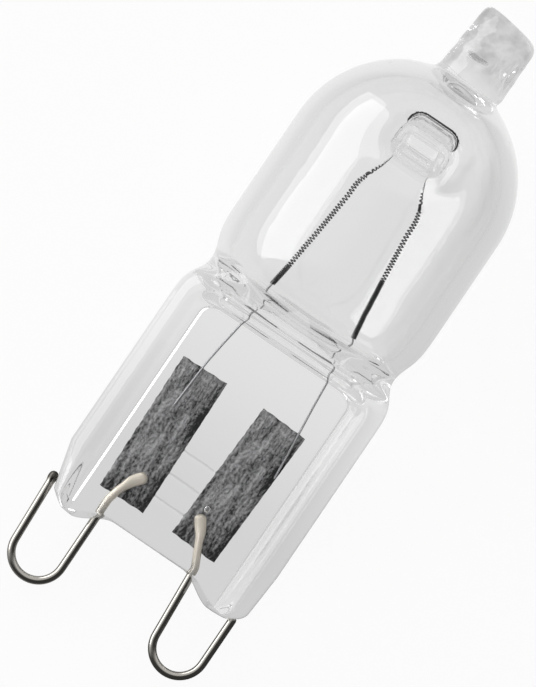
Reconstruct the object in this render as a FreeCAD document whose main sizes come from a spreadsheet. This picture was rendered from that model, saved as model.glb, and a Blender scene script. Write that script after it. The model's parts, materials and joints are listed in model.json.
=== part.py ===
import FreeCAD, Part
import math
import os
import Sketcher

# Halogen capsule lamp with two wire loops, at its real size in millimetres.
# The lamp is drawn standing in its own frame: X across the pinch, Y from the visible
# face to the back, Z up the axis, with Z = 0 at the foot of the web. The last section
# lays it down the way it comes to rest.
Vector = FreeCAD.Vector
document = FreeCAD.newDocument("capsule_lamp")
sheet = document.addObject("Spreadsheet::Sheet", "sizes")

SIZES = {
    # bulb, with its heights counted up from the top of the web
    "bulb_radius": 7.0,
    "bulb_wall": 1.0,
    "neck_rise": 2.0,
    "neck_inset": 0.58,
    "neck_bend": 1.2,
    "bulb_foot_bend": 2.6,
    "shoulder_bend": 4.65,
    "barrel_length": 6.4,
    # sealed exhaust tip, with its length counted from the crown of the dome
    "tip_radius": 2.2,
    "tip_length": 4.2,
    "tip_taper": 0.25,
    "tip_shift": 0.33,
    "tip_slant": 9.0,
    "tip_rounding": 0.45,
    "tip_fillet": 0.4,
    "capillary_mouth": 1.4,
    "capillary_end": 0.35,
    "capillary_rise": 1.2,
    # pinch seal
    "pinch_flare": 0.82,
    "pinch_bend": 1.6,
    "pinch_depth": 4.8,
    "pinch_blend": 1.0,
    "jaw_edge_rise": 0.09,
    "pinch_edge": 0.6,
    "web_width": 10.1,
    "web_depth": 2.3,
    "web_top": 13.75,
    "web_corner": 0.8,
    "jaw_draft": 18.0,
    "flange_drop": 1.05,
    "flange_corner": 2.2,
    "foot_width": 5.8,
    "foot_spread": 2.6,
    # gas space
    "floor_rise": 0.75,
    "cavity_corner": 1.2,
    "cavity_half_width": 5.0,
    "trough_half_depth": 0.7,
    "trough_angle": 58.0,
    # filament support pressed in from the front and the back
    "support_rise": 2.2,
    "support_shift": 0.17,
    "support_width": 3.3,
    "support_length": 2.9,
    "support_corner": 0.85,
    "support_draft": 8.0,
    "dimple_wall": 0.6,
    "dimple_web": 0.5,
    # filament
    "coil_diameter": 0.34,
    "bridge_diameter": 0.18,
    "coil_foot_rise": 2.2,
    "kink_left": 1.83,
    "kink_right": 2.27,
    "kink_drop": 3.3,
    "kink_rise": 0.65,
    "bridge_bend": 0.5,
    "bridge_gap": 0.02,
    # molybdenum foils
    "foil_thickness": 0.05,
    "foil_edge": 0.025,
    "foil_feather": 0.6,
    "foil_width": 3.05,
    "foil_length": 8.95,
    "foil_foot": 1.4,
    "foil_left": 2.93,
    "foil_right": 2.36,
    "foil_lean_left": -1.15,
    "foil_lean_right": 2.3,
    # inner leads
    "lead_diameter": 0.14,
    "lead_flat": 0.02,
    "lead_lap": 2.65,
    "lead_offset_left": 0.4,
    "lead_offset_right": 1.4,
    "lead_exit_left": 2.83,
    "lead_exit_right": 3.26,
    "lead_bend": 2.0,
    # contact loops
    "wire_diameter": 0.5,
    "loop_spacing": 9.9,
    "loop_width": 3.2,
    "loop_flat": 0.01,
    "loop_shift": 0.1,
    "loop_reach": 5.75,
    "loop_lap": 1.7,
    "loop_seat": 1.3,
    "weld_lean": 0.95,
    "weld_bend": 1.0,
    "weld_tail": 0.18,
    "weld_width": 0.66,
    "weld_length": 0.9,
    "weld_thickness": 0.3,
    "weld_flat": 0.03,
}


class Size:
    """A length that keeps both its value and the formula that reads it from the sheet."""

    def __init__(self, value, formula):
        self.value = value
        self.formula = formula

    def __add__(self, other):
        other = as_size(other)
        return Size(self.value + other.value, f"({self.formula} + {other.formula})")

    def __sub__(self, other):
        other = as_size(other)
        return Size(self.value - other.value, f"({self.formula} - {other.formula})")

    def __mul__(self, other):
        other = as_size(other)
        return Size(self.value * other.value, f"({self.formula} * {other.formula})")

    def __truediv__(self, other):
        other = as_size(other)
        return Size(self.value / other.value, f"({self.formula} / {other.formula})")

    def __neg__(self):
        return Size(-self.value, f"(0 - {self.formula})")


def as_size(number):
    """Return a Size, also for a plain number such as the 2 in a half width."""
    return number if isinstance(number, Size) else Size(float(number), repr(float(number)))


def root(size):
    """Return the square root of a Size."""
    return Size(math.sqrt(size.value), f"sqrt({size.formula})")


def of_angle(kind, angle):
    """Return the sine, cosine or tangent, as named, of an angle in degrees."""
    value = getattr(math, kind)(math.radians(angle.value))
    return Size(value, f"{kind}({angle.formula})")


def fill_sheet():
    """Write every driving size into the sheet and return it as a Size under its name."""
    named = {}
    for row, (name, value) in enumerate(SIZES.items(), start=1):
        sheet.set(f"A{row}", name)
        sheet.set(f"B{row}", str(value))
        sheet.setAlias(f"B{row}", name)
        named[name] = Size(value, f"sizes.{name}")
    document.recompute()
    return named


size = fill_sheet()
ORIGIN = as_size(0)
# How far a cutting outline runs past the glass, and past the bulb's widest line
CUT_MARGIN = as_size(2)
SHOULDER_PLAY = as_size(0.05)
# Slack in millimetres for telling edges apart by their heights
NEAR = 0.1

# Heights and radii that follow from the sizes
bulb_radius = size["bulb_radius"]
neck_radius = bulb_radius - size["neck_inset"]
pinch_radius = neck_radius + size["pinch_flare"]
neck_height = size["web_top"] + size["neck_rise"]

# Side view: the round shoulder stands on the hollow blend that the jaws' edges leave
half_pinch = size["pinch_depth"] / 2
shoulder_reach = bulb_radius + SHOULDER_PLAY
shoulder_centre = shoulder_reach - size["shoulder_bend"]
blend_centre = half_pinch + size["pinch_blend"]
blend_height = size["web_top"] + size["jaw_edge_rise"]
bends = size["shoulder_bend"] + size["pinch_blend"]
shoulder_inset = blend_centre - shoulder_centre
shoulder_height = blend_height + root(bends * bends - shoulder_inset * shoulder_inset)

dome_height = shoulder_height + size["barrel_length"]
crown_height = dome_height + bulb_radius
tip_height = crown_height + size["tip_length"]
cavity_floor = size["web_top"] + size["floor_rise"]
support_height = dome_height + size["support_rise"]


def bind(feature, prop, length):
    """Tie a property of a feature to the sheet."""
    feature.setExpression(prop, length.formula)


def new_body(name):
    """Add an empty body."""
    return document.addObject("PartDesign::Body", name)


def new_sketch(body, name, role, offset=ORIGIN):
    """Add a sketch on one of the body's own origin planes, moved along its normal."""
    plane = [item for item in body.Origin.OriginFeatures if item.Role == role][0]
    sketch = body.newObject("Sketcher::SketchObject", name)
    sketch.AttachmentSupport = [(plane, "")]
    sketch.MapMode = "FlatFace"
    bind(sketch, "AttachmentOffset.Base.z", offset)
    return sketch


def hold_point(sketch, geometry, end, point):
    """Hold one end of a line or arc at a point whose coordinates are tied to the sheet."""
    for kind, axis, length in (("DistanceX", -2, point[0]), ("DistanceY", -1, point[1])):
        if length is ORIGIN:
            sketch.addConstraint(Sketcher.Constraint("PointOnObject", geometry, end, axis))
        else:
            index = sketch.addConstraint(
                Sketcher.Constraint(kind, -1, 1, geometry, end, length.value))
            sketch.setExpression(f"Constraints[{index}]", length.formula)


def draw(sketch, start, steps):
    """Draw a closed outline: each step is a point, with the centre and radius of an arc
    where the way to it is round."""
    here = start
    first = None
    last = None
    for step in steps:
        there = step[0]
        a = Vector(here[0].value, here[1].value, 0)
        b = Vector(there[0].value, there[1].value, 0)
        if len(step) == 1:
            geometry = sketch.addGeometry(Part.LineSegment(a, b))
            tail, head = 1, 2
        else:
            centre = Vector(step[1][0].value, step[1][1].value, 0)
            left_turn = (a - centre).cross(b - centre).z > 0
            begin, finish = (a, b) if left_turn else (b, a)
            circle = Part.Circle(centre, Vector(0, 0, 1), step[2].value)
            arc = Part.ArcOfCircle(circle,
                                   math.atan2(begin.y - centre.y, begin.x - centre.x),
                                   math.atan2(finish.y - centre.y, finish.x - centre.x))
            geometry = sketch.addGeometry(arc)
            tail, head = (1, 2) if left_turn else (2, 1)
            index = sketch.addConstraint(
                Sketcher.Constraint("Radius", geometry, step[2].value))
            sketch.setExpression(f"Constraints[{index}]", step[2].formula)
        if last is not None:
            sketch.addConstraint(
                Sketcher.Constraint("Coincident", last[0], last[1], geometry, tail))
        else:
            first = (geometry, tail)
        if step is not steps[-1]:
            hold_point(sketch, geometry, head, there)
        last = (geometry, head)
        here = there
    sketch.addConstraint(
        Sketcher.Constraint("Coincident", last[0], last[1], first[0], first[1]))
    hold_point(sketch, first[0], first[1], start)


def draw_rounded_box(sketch, centre, half_width, half_height, corner):
    """Draw a rectangle with round corners about a centre."""
    left, right = centre[0] - half_width, centre[0] + half_width
    low, high = centre[1] - half_height, centre[1] + half_height
    draw(sketch, (left + corner, low), [
        ((right - corner, low),),
        ((right, low + corner), (right - corner, low + corner), corner),
        ((right, high - corner),),
        ((right - corner, high), (right - corner, high - corner), corner),
        ((left + corner, high),),
        ((left, high - corner), (left + corner, high - corner), corner),
        ((left, low + corner),),
        ((left + corner, low), (left + corner, low + corner), corner),
    ])


def turn(body, sketch, name):
    """Turn a half outline about the lamp's axis."""
    feature = body.newObject("PartDesign::Revolution", name)
    feature.Profile = sketch
    feature.ReferenceAxis = (sketch, ["V_Axis"])
    feature.Angle = 360
    return feature


def cut_both_ways(body, sketch, name):
    """Cut a sketch right through the body, to both sides of its plane."""
    feature = body.newObject("PartDesign::Pocket", name)
    feature.Profile = sketch
    feature.Type = "ThroughAll"
    feature.Midplane = True
    return feature


def press_in(body, sketch, name, towards_front, draft):
    """Cut a pressed hollow that widens from its sketch out to the face by its draft."""
    feature = body.newObject("PartDesign::Pocket", name)
    feature.Profile = sketch
    feature.Type = "Length"
    feature.Reversed = towards_front
    bind(feature, "Length", pinch_radius + CUT_MARGIN)
    bind(feature, "TaperAngle", draft)
    return feature


def bent_rod(name, corners, radii, diameter):
    """Sweep a round section along straight runs joined by tangent arcs."""
    runs = []
    here = corners[0]
    for before, corner, after, radius in zip(corners, corners[1:], corners[2:], radii):
        back = (before - corner).normalize()
        ahead = (after - corner).normalize()
        half_turn = (math.pi - back.getAngle(ahead)) / 2
        setback = radius * math.tan(half_turn)
        middle = corner + (back + ahead).normalize() * (
            radius / math.cos(half_turn) - radius)
        begin, finish = corner + back * setback, corner + ahead * setback
        if begin.distanceToPoint(here) > 1e-6:
            runs.append(Part.LineSegment(here, begin).toShape())
        runs.append(Part.Arc(begin, middle, finish).toShape())
        here = finish
    runs.append(Part.LineSegment(here, corners[-1]).toShape())
    path = document.addObject("Part::Feature", name + "_path")
    path.Shape = Part.Wire(runs)
    section = document.addObject("Part::Circle", name + "_section")
    bind(section, "Radius", diameter / 2)
    direction = (corners[1] - corners[0]).normalize()
    section.Placement = FreeCAD.Placement(
        corners[0], FreeCAD.Rotation(Vector(0, 0, 1), direction))
    rod = document.addObject("Part::Sweep", name)
    rod.Sections = [section]
    rod.Spine = (path, [f"Edge{number}" for number in range(1, len(runs) + 1)])
    rod.Solid = True
    rod.Frenet = False
    return rod


def join(name, pieces):
    """Fuse pieces of one real part."""
    feature = document.addObject("Part::MultiFuse", name)
    feature.Shapes = pieces
    feature.Refine = True
    return feature


def cut(name, base, tool):
    """Take one shape out of another."""
    feature = document.addObject("Part::Cut", name)
    feature.Base = base
    feature.Tool = tool
    return feature


# Outside of the quartz envelope: a tube blown to a round bulb, then pinched flat
envelope_blank = new_body("envelope_blank")

pinch_foot = -size["flange_drop"]
neck_reach = neck_radius + size["neck_bend"]


def neck_step(radius, bend):
    """Rise between two round stretches that meet smoothly at the neck."""
    total = bend + size["neck_bend"]
    inset = radius - neck_radius
    return root(total * inset * 2 - inset * inset)


def neck_meet(radius, bend, centre_height):
    """Point where the bend of the bulb or of the pinch meets the bend of the neck."""
    share = bend / (bend + size["neck_bend"])
    across = (radius - bend) + (neck_reach - (radius - bend)) * share
    return across, centre_height + (neck_height - centre_height) * share


pinch_bend_height = neck_height - neck_step(pinch_radius, size["pinch_bend"])
bulb_foot_height = neck_height + neck_step(bulb_radius, size["bulb_foot_bend"])
pinch_meet = neck_meet(pinch_radius, size["pinch_bend"], pinch_bend_height)
bulb_meet = neck_meet(bulb_radius, size["bulb_foot_bend"], bulb_foot_height)
corner_height = pinch_foot + size["flange_corner"]
corner_across = pinch_radius - size["flange_corner"]

outline = new_sketch(envelope_blank, "bulb_outline", "XZ_Plane")
draw(outline, (ORIGIN, pinch_foot), [
    ((corner_across, pinch_foot),),
    ((pinch_radius, corner_height), (corner_across, corner_height), size["flange_corner"]),
    ((pinch_radius, pinch_bend_height),),
    (pinch_meet, (pinch_radius - size["pinch_bend"], pinch_bend_height), size["pinch_bend"]),
    (bulb_meet, (neck_reach, neck_height), size["neck_bend"]),
    ((bulb_radius, bulb_foot_height),
     (bulb_radius - size["bulb_foot_bend"], bulb_foot_height), size["bulb_foot_bend"]),
    ((bulb_radius, dome_height),),
    ((ORIGIN, crown_height), (ORIGIN, dome_height), bulb_radius),
    ((ORIGIN, pinch_foot),),
])
turn(envelope_blank, outline, "blown_bulb")

# The exhaust tube left a short stub on the dome, melted shut at a slant and off centre
stub = envelope_blank.newObject("PartDesign::AdditiveCone", "exhaust_tip")
stub_foot = crown_height - size["tip_radius"] / 2
slant_rise = size["tip_radius"] * of_angle("tan", size["tip_slant"]) * 2
bind(stub, "Radius1", size["tip_radius"])
bind(stub, "Radius2", size["tip_radius"] - size["tip_taper"])
bind(stub, "Height", tip_height + slant_rise - stub_foot)
bind(stub, "Placement.Base.x", size["tip_shift"])
bind(stub, "Placement.Base.z", stub_foot)
slant = new_sketch(envelope_blank, "tip_slant_outline", "XZ_Plane")
slant_left = size["tip_shift"] - size["tip_radius"] * 2
slant_right = size["tip_shift"] + size["tip_radius"] * 2
slant_top = tip_height + slant_rise + CUT_MARGIN
draw(slant, (slant_left, tip_height + slant_rise), [
    ((slant_right, tip_height - slant_rise),),
    ((slant_right, slant_top),),
    ((slant_left, slant_top),),
    ((slant_left, tip_height + slant_rise),),
])
slanted = cut_both_ways(envelope_blank, slant, "tip_slant_cut")
document.recompute()


def edges_at_height(shape, low, high):
    """Names of the closed round edges that lie between two heights."""
    return [f"Edge{number}" for number, edge in enumerate(shape.Edges, start=1)
            if low < edge.BoundBox.ZMin and edge.BoundBox.ZMax < high]


top = envelope_blank.newObject("PartDesign::Fillet", "tip_rounding")
top.Base = (slanted, edges_at_height(slanted.Shape, (tip_height - slant_rise).value,
                                     (tip_height + slant_rise).value))
bind(top, "Radius", size["tip_rounding"])
document.recompute()
blend = envelope_blank.newObject("PartDesign::Fillet", "tip_blend")
blend.Base = (top, edges_at_height(top.Shape, (crown_height - size["tip_radius"]).value,
                                   crown_height.value + NEAR))
bind(blend, "Radius", size["tip_fillet"])

# Seen from the side the jaws leave a flat pinch under a round shoulder
share = size["shoulder_bend"] / bends
side_meet = (shoulder_centre + shoulder_inset * share,
             shoulder_height + (blend_height - shoulder_height) * share)
beyond = pinch_radius + CUT_MARGIN
below = pinch_foot - CUT_MARGIN


def draw_side_waste(sketch, side):
    """Outline of what the jaws press away on one side, seen along the lamp's width."""
    draw(sketch, (half_pinch * side, below), [
        ((half_pinch * side, blend_height),),
        ((side_meet[0] * side, side_meet[1]), (blend_centre * side, blend_height),
         size["pinch_blend"]),
        ((shoulder_reach * side, shoulder_height),
         (shoulder_centre * side, shoulder_height), size["shoulder_bend"]),
        ((beyond * side, shoulder_height),),
        ((beyond * side, below),),
        ((half_pinch * side, below),),
    ])


for side, name in ((-1, "front"), (1, "back")):
    waste = new_sketch(envelope_blank, f"{name}_press_outline", "YZ_Plane")
    draw_side_waste(waste, side)
    cut_both_ways(envelope_blank, waste, f"{name}_press")
document.recompute()


def long_edges(shape, least_length, high, least_x):
    """Names of the upright edges at the corners of the pinch."""
    names = []
    for number, edge in enumerate(shape.Edges, start=1):
        box = edge.BoundBox
        if (box.ZLength > least_length and box.ZMax < high
                and min(abs(box.XMin), abs(box.XMax)) > least_x):
            names.append(f"Edge{number}")
    return names


pressed = envelope_blank.Tip
rounded = envelope_blank.newObject("PartDesign::Fillet", "pinch_rounding")
rounded.Base = (pressed, long_edges(pressed.Shape, size["web_top"].value / 2,
                                    neck_height.value, size["web_width"].value / 2))
bind(rounded, "Radius", size["pinch_edge"])

# The jaws thin the middle of the pinch to a web and leave a flange at each side
web_half_width = size["web_width"] / 2
web_middle = (ORIGIN, (size["web_top"] + below) / 2)
web_half_height = (size["web_top"] - below) / 2
for towards_front, name in ((True, "front"), (False, "back")):
    face = size["web_depth"] / 2 * (1 if towards_front else -1)
    recess = new_sketch(envelope_blank, f"{name}_web_outline", "XZ_Plane", face)
    draw_rounded_box(recess, web_middle, web_half_width, web_half_height,
                     size["web_corner"])
    press_in(envelope_blank, recess, f"{name}_web", towards_front, size["jaw_draft"])

# The web ends above the feet of the flanges
foot_half = size["foot_width"] / 2
foot = new_sketch(envelope_blank, "web_foot_outline", "XZ_Plane")
draw(foot, (-foot_half, ORIGIN), [
    ((-(foot_half + size["foot_spread"]), pinch_foot),),
    ((-(foot_half + size["foot_spread"]), below),),
    ((foot_half + size["foot_spread"], below),),
    ((foot_half + size["foot_spread"], pinch_foot),),
    ((foot_half, ORIGIN),),
    ((-foot_half, ORIGIN),),
])
cut_both_ways(envelope_blank, foot, "web_foot")

# A pin pressed a deep dimple into the bulb from each face to carry the filament
support_centre = (size["support_shift"], support_height)
dimple_half_width = size["support_width"] / 2 - size["dimple_wall"]
dimple_half_length = size["support_length"] / 2 - size["dimple_wall"]
dimple_corner = size["support_corner"] - size["dimple_wall"] / 2
for towards_front, name in ((True, "front"), (False, "back")):
    face = size["dimple_web"] / 2 * (1 if towards_front else -1)
    pin = new_sketch(envelope_blank, f"{name}_dimple_outline", "XZ_Plane", face)
    draw_rounded_box(pin, support_centre, dimple_half_width, dimple_half_length,
                     dimple_corner)
    press_in(envelope_blank, pin, f"{name}_dimple", towards_front, size["support_draft"])

# Gas space: the inside of the bulb, drawn in to a trough above the web
cavity = new_body("gas_space")
inner_radius = bulb_radius - size["bulb_wall"]
cavity_corner_height = cavity_floor + size["cavity_corner"]
cavity_corner_across = size["cavity_half_width"] - size["cavity_corner"]
inside = new_sketch(cavity, "gas_outline", "XZ_Plane")
draw(inside, (ORIGIN, cavity_floor), [
    ((cavity_corner_across, cavity_floor),),
    ((size["cavity_half_width"], cavity_corner_height),
     (cavity_corner_across, cavity_corner_height), size["cavity_corner"]),
    ((inner_radius, bulb_foot_height + size["bulb_wall"] / 2),),
    ((inner_radius, dome_height),),
    ((ORIGIN, dome_height + inner_radius), (ORIGIN, dome_height), inner_radius),
    ((ORIGIN, cavity_floor),),
])
turn(cavity, inside, "gas_turned")

inner_bend = size["shoulder_bend"] - size["bulb_wall"]
inner_reach = shoulder_centre + inner_bend
trough_turn = (shoulder_centre + inner_bend * of_angle("cos", size["trough_angle"]),
               shoulder_height - inner_bend * of_angle("sin", size["trough_angle"]))
trough_foot = cavity_floor - size["trough_half_depth"] / 2
for side, name in ((-1, "front"), (1, "back")):
    waste = new_sketch(cavity, f"{name}_gas_outline", "YZ_Plane")
    draw(waste, (size["trough_half_depth"] * side, trough_foot), [
        ((trough_turn[0] * side, trough_turn[1]),),
        ((inner_reach * side, shoulder_height),
         (shoulder_centre * side, shoulder_height), inner_bend),
        ((beyond * side, shoulder_height),),
        ((beyond * side, trough_foot),),
        ((size["trough_half_depth"] * side, trough_foot),),
    ])
    cut_both_ways(cavity, waste, f"{name}_gas_press")
for towards_front, name in ((True, "front"), (False, "back")):
    pillar = new_sketch(cavity, f"{name}_pillar_outline", "XZ_Plane")
    draw_rounded_box(pillar, support_centre, size["support_width"] / 2,
                     size["support_length"] / 2, size["support_corner"])
    press_in(cavity, pillar, f"{name}_pillar", towards_front, size["support_draft"])
capillary = document.addObject("Part::Cone", "capillary")
capillary_foot = dome_height + inner_radius - size["capillary_mouth"] / 2
bind(capillary, "Radius1", size["capillary_mouth"])
bind(capillary, "Radius2", size["capillary_end"])
bind(capillary, "Height", crown_height + size["capillary_rise"] - capillary_foot)
bind(capillary, "Placement.Base.z", capillary_foot)

# Molybdenum foils carry the current through the web: thin strips with feathered edges
wire_radius = size["wire_diameter"] / 2
foil_depth = wire_radius + size["foil_thickness"] / 2 - size["weld_flat"]
SIGNS = {"left": -1, "right": 1}


def make_foil(name, side):
    """Cut a foil strip, thinned to a blunt edge at both long sides."""
    strip = new_body(name)
    edge = size["foil_edge"] / 2
    half_width, half_thick = size["foil_width"] / 2, size["foil_thickness"] / 2
    flat = half_width - size["foil_feather"]
    section = new_sketch(strip, f"{name}_section", "XY_Plane")
    draw(section, (-half_width, -edge), [
        ((-flat, -half_thick),), ((flat, -half_thick),), ((half_width, -edge),),
        ((half_width, edge),), ((flat, half_thick),), ((-flat, half_thick),),
        ((-half_width, edge),), ((-half_width, -edge),),
    ])
    length = strip.newObject("PartDesign::Pad", f"{name}_length")
    length.Profile = section
    bind(length, "Length", size["foil_length"])
    length.Midplane = True
    middle = size["foil_foot"] + size["foil_length"] / 2
    strip.Placement = FreeCAD.Placement(
        Vector(SIGNS[side] * size[f"foil_{side}"].value, foil_depth.value, middle.value),
        FreeCAD.Rotation(Vector(0, 1, 0), -size[f"foil_lean_{side}"].value))
    return strip


def at(across, up, deep=0.0):
    """Point of a wire's route in the lamp's frame."""
    return Vector(across, deep, up)


# Filament: one coiled tungsten wire, with its plain stretch hooked round the support
FOIL_TOP = (size["foil_foot"] + size["foil_length"]).value
KINK = (support_height - size["kink_drop"]).value
WEB_TOP = size["web_top"].value
lead_depth = (foil_depth - size["foil_thickness"] / 2 - size["lead_diameter"] / 2
              + size["lead_flat"]).value


def coil_route(side):
    """Straight way of one side: where the lead leaves the web, the coil's foot, the kink."""
    out = at(SIGNS[side] * size[f"lead_exit_{side}"].value, WEB_TOP, lead_depth)
    kink = at(SIGNS[side] * size[f"kink_{side}"].value, KINK)
    share = ((cavity_floor + size["coil_foot_rise"]).value - WEB_TOP) / (KINK - WEB_TOP)
    return out, out + (kink - out) * share, kink


def make_filament():
    """Bend the coil's two legs and the thin bridge that runs over the support."""
    centre_x, centre_z = (length.value for length in support_centre)
    reach = size["bridge_diameter"].value / 2 + size["bridge_gap"].value
    half_width = size["support_width"].value / 2 + reach
    crown = centre_z + size["support_length"].value / 2 + reach
    lift = KINK + size["kink_rise"].value
    corner = size["support_corner"].value + reach
    bend = size["bridge_bend"].value
    pieces = [bent_rod(f"coil_leg_{side}", coil_route(side)[1:], [], size["coil_diameter"])
              for side in SIGNS]
    pieces.append(bent_rod(
        "coil_bridge",
        [coil_route("left")[-1], at(centre_x - half_width, lift),
         at(centre_x - half_width, crown), at(centre_x + half_width, crown),
         at(centre_x + half_width, lift), coil_route("right")[-1]],
        [bend, corner, corner, bend], size["bridge_diameter"]))
    return join("filament_coil", pieces)


# Inner leads: fine wires welded on the foils, up through the web to the filament
def make_lead_rod(side):
    """Bend one inner lead: its lower end lies on the foil, its top meets the filament."""
    lap_x = SIGNS[side] * (size[f"foil_{side}"] + size[f"lead_offset_{side}"]).value
    out, foot = coil_route(side)[:2]
    return bent_rod(f"lead_wire_{side}_rod",
                    [at(lap_x, FOIL_TOP - size["lead_lap"].value, lead_depth), out, foot],
                    [size["lead_bend"].value], size["lead_diameter"])


# Contact loops: stiff plated wire bent to a U, its inner end flattened on the foil
def make_loop_rod(side):
    """Bend one contact loop with both ends held in the glass."""
    sign = SIGNS[side]
    centre = sign * size["loop_spacing"].value / 2 - size["loop_shift"].value
    half = size["loop_width"].value / 2
    bow = half - size["loop_flat"].value / 2
    bottom = wire_radius.value - size["loop_reach"].value
    outer, inner = centre + sign * half, centre - sign * half
    bend = at(inner, size["foil_foot"].value - size["weld_length"].value / 2)
    end = at(inner - sign * size["weld_lean"].value,
             (size["foil_foot"] + size["loop_lap"]).value)
    rod = bent_rod(f"contact_loop_{side}_rod",
                   [at(outer, (size["loop_seat"] - size["flange_drop"]).value),
                    at(outer, bottom), at(inner, bottom), bend, end],
                   [bow, bow, size["weld_bend"].value], size["wire_diameter"])
    paddle = document.addObject("Part::Box", f"weld_{side}")
    bind(paddle, "Length", size["weld_width"])
    bind(paddle, "Width", size["weld_thickness"])
    bind(paddle, "Height", size["weld_length"])
    lean = math.degrees(math.atan2(end.x - bend.x, end.z - bend.z))
    turned = FreeCAD.Rotation(Vector(0, 1, 0), lean)
    corner = Vector(-size["weld_width"].value / 2,
                    (foil_depth - size["foil_thickness"] / 2
                     - size["weld_thickness"]).value,
                    (size["weld_tail"] - size["weld_length"]).value)
    paddle.Placement = FreeCAD.Placement(end + turned.multVec(corner), turned)
    return join(f"contact_loop_{side}_blank", [rod, paddle])


filament = make_filament()
seats = [cavity, capillary]
parts = [filament]
for side in SIGNS:
    foil_seat = make_foil(f"foil_{side}_seat", side)
    lead_rod = make_lead_rod(side)
    loop_blank = make_loop_rod(side)
    seats += [foil_seat, lead_rod, loop_blank]
    parts += [make_foil(f"foil_{side}", side),
              cut(f"lead_wire_{side}", lead_rod, foil_seat),
              cut(f"contact_loop_{side}", loop_blank, foil_seat)]
hollow = join("envelope_hollow", seats)
parts.append(cut("quartz_envelope", envelope_blank, hollow))
document.recompute()

# At rest the lamp lies on its back, on the feet of the flanges and the bulb's shoulder
along_axis = FreeCAD.Rotation(Vector(0, -1, 0), Vector(0, 0, -1), Vector(1, 0, 0), "XYZ")
reach_up = (shoulder_height - pinch_foot).value
reach_out = (shoulder_centre - half_pinch).value
lean = math.atan2(reach_out, reach_up) + math.asin(
    size["shoulder_bend"].value / math.hypot(reach_up, reach_out))
lying = FreeCAD.Rotation(Vector(0, 1, 0), -math.degrees(lean)) * along_axis
box = FreeCAD.BoundBox()
for item in parts:
    laid = item.Shape.copy()
    laid.Placement = FreeCAD.Placement(Vector(0, 0, 0), lying) * laid.Placement
    box.add(laid.optimalBoundingBox(False))
rest = FreeCAD.Placement(Vector(-box.Center.x, -box.Center.y, -box.ZMin), lying)
for item in parts:
    item.Placement = rest * item.Placement
    item.Label = item.Name
document.recompute()

for item in document.Objects:
    if "Invalid" in item.State or "Error" in item.State:
        raise RuntimeError(f"{item.Label} did not build: {item.State}")
for item in parts:
    if item.Shape.isNull() or not item.Shape.isValid():
        raise RuntimeError(f"{item.Label} has no sound shape")
    print(item.Label, len(item.Shape.Solids), round(item.Shape.Volume, 4))
print("lean", round(math.degrees(lean), 2))

os.makedirs("parts", exist_ok=True)
for item in parts:
    item.Shape.exportStep(f"parts/{item.Label}.step")
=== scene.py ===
import json
import math
import bmesh
import bpy
import numpy as np
from mathutils import Matrix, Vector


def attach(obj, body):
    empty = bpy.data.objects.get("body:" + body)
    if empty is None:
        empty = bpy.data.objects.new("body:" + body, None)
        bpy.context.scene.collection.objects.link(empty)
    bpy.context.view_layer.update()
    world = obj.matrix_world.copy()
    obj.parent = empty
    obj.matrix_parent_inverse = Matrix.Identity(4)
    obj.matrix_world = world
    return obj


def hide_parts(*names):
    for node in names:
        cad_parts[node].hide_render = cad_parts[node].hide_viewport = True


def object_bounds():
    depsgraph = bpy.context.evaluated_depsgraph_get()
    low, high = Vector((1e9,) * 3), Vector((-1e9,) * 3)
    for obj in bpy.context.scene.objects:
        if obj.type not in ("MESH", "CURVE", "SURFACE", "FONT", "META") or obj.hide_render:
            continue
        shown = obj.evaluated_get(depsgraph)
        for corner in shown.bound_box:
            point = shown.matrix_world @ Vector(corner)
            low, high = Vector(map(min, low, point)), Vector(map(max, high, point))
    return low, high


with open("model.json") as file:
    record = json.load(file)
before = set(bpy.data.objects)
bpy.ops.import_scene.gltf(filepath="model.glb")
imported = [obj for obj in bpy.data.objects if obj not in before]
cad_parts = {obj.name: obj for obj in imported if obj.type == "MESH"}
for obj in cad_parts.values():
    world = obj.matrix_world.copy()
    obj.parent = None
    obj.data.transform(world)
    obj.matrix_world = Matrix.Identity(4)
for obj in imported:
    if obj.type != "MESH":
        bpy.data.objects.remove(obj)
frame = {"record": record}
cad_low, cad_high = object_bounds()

# How the lamp lies. Its own frame is in millimetres: right across the pinch, back away
# from the visible face, up the axis, with zero at the foot of the glass web. The frame's
# contact mount says where the loops' ends are and which way the lamp's axis leans.
MM = 0.001
LOOP_ENDS = np.array((-0.1, 0.0, -5.75))
loop_mount = next(m for m in frame["record"]["mounts"] if m["name"] == "contact_loops")
lamp_up = -np.array(loop_mount["axis"])
lamp_up /= np.linalg.norm(lamp_up)
lamp_right = np.array((0.0, -1.0, 0.0))
lamp_back = np.cross(lamp_up, lamp_right)
lamp_axes = np.stack((lamp_right, lamp_back, lamp_up))
lamp_zero = np.array(loop_mount["pos_m"]) - MM * LOOP_ENDS @ lamp_axes


def lay(points):
    """Points of the lamp's own frame, in millimetres, as places in the row in metres."""
    return lamp_zero + MM * np.asarray(points, float) @ lamp_axes


# Quartz envelope: one tube of clear fused quartz, blown to a bulb at one end and pressed
# flat between jaws at the other, with a pin pressed in from both faces to carry the
# filament and the stub of the exhaust tube melted shut on its crown.
BULB_RADIUS = 7.0
WALL = 1.0
DOME_HEIGHT = 25.8
SHOULDER_HEIGHT = 19.4
SHOULDER_BEND = 4.65
NECK_HEIGHT = 15.75
NECK_DEEP = 0.69
NECK_SPREAD = (1.15, 1.5)
PINCH_HALF_WIDTH = 7.22
PINCH_HALF_DEPTH = 2.4
PINCH_BLEND = 1.0
FOOT_TAPER = (0.26, 0.07)
FOOT_CORNER = ((-0.2, 0.95, 1.3), (0.1, 1.2, 2.4))
WEB_HALF_DEPTH = 1.15
WEB_HALF_WIDTH = 5.05
WEB_TOP = 13.75
JAW_SLOPES = (1.0, math.tan(math.radians(18)))
WEB_CORNER = 0.8
WEB_FOOT_BEND = 0.12
FLANGE_EDGE_BEND = 0.35
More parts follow.
